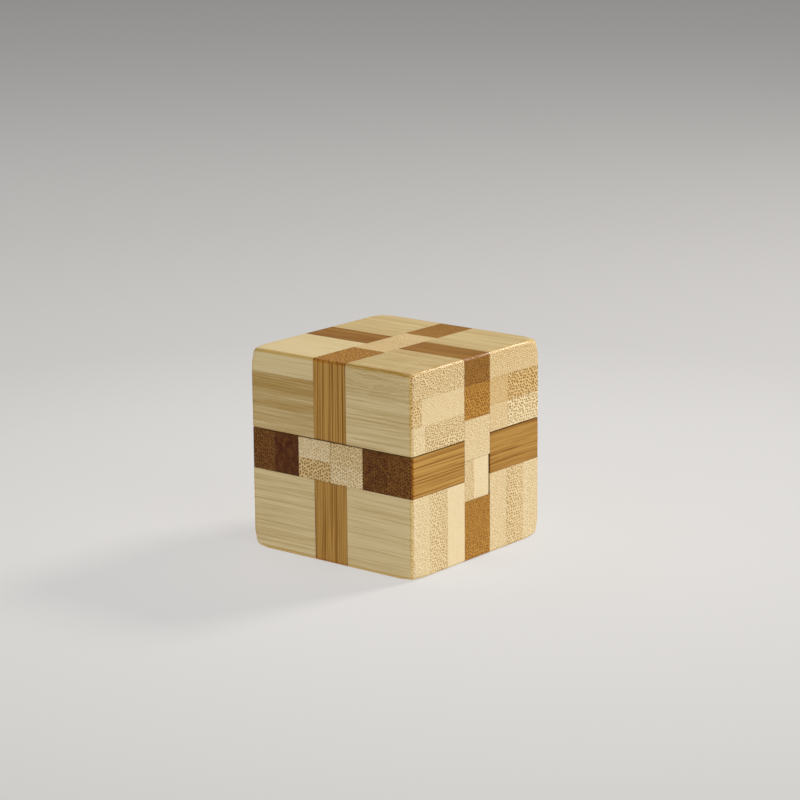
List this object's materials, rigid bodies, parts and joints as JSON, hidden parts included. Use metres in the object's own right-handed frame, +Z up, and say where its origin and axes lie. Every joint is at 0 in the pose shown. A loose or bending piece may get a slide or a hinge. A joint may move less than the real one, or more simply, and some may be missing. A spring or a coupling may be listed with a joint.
{
  "type": "interlocking wooden puzzle cube",
  "caption": "Free-standing cube of interlocking light and dark bamboo blocks, held together by a square key stick that slides out sideways.",
  "frame": {"origin": "centre of the base, on the surface that the cube stands on", "axes": "+Z up, X along the key stick, -Y towards the front face"},
  "size_m": [0.06, 0.06, 0.06],
  "materials": {
    "light_bamboo": "satin",
    "dark_bamboo": "satin"
  },
  "bodies": {
    "cube": {"upright_front": "light_bamboo", "upright_back": "light_bamboo", "cross_stick_left": "light_bamboo", "cross_stick_right": "light_bamboo", "top_stick": "light_bamboo", "corner_upper_front_left": "light_bamboo", "corner_upper_front_right": "light_bamboo", "corner_upper_back_left": "light_bamboo", "corner_upper_back_right": "light_bamboo", "corner_lower_front_left": "light_bamboo", "corner_lower_front_right": "light_bamboo", "corner_lower_back_left": "light_bamboo", "corner_lower_back_right": "light_bamboo", "bar_front_upper": "dark_bamboo", "bar_front_lower": "dark_bamboo", "bar_back_upper": "dark_bamboo", "bar_back_lower": "dark_bamboo", "bar_left_upper": "dark_bamboo", "bar_left_lower": "dark_bamboo", "bar_right_upper": "dark_bamboo", "bar_right_lower": "dark_bamboo", "rail_front_left": "dark_bamboo", "rail_front_right": "dark_bamboo", "rail_back_left": "dark_bamboo", "rail_back_right": "dark_bamboo"},
    "key": {"key_stick": "light_bamboo"}
  },
  "joints": [
    {"name": "key_slide", "type": "slide", "parent": "cube", "child": "key", "axis": [1, 0, 0], "range_m": [-0.06, 0.06]}
  ]
}
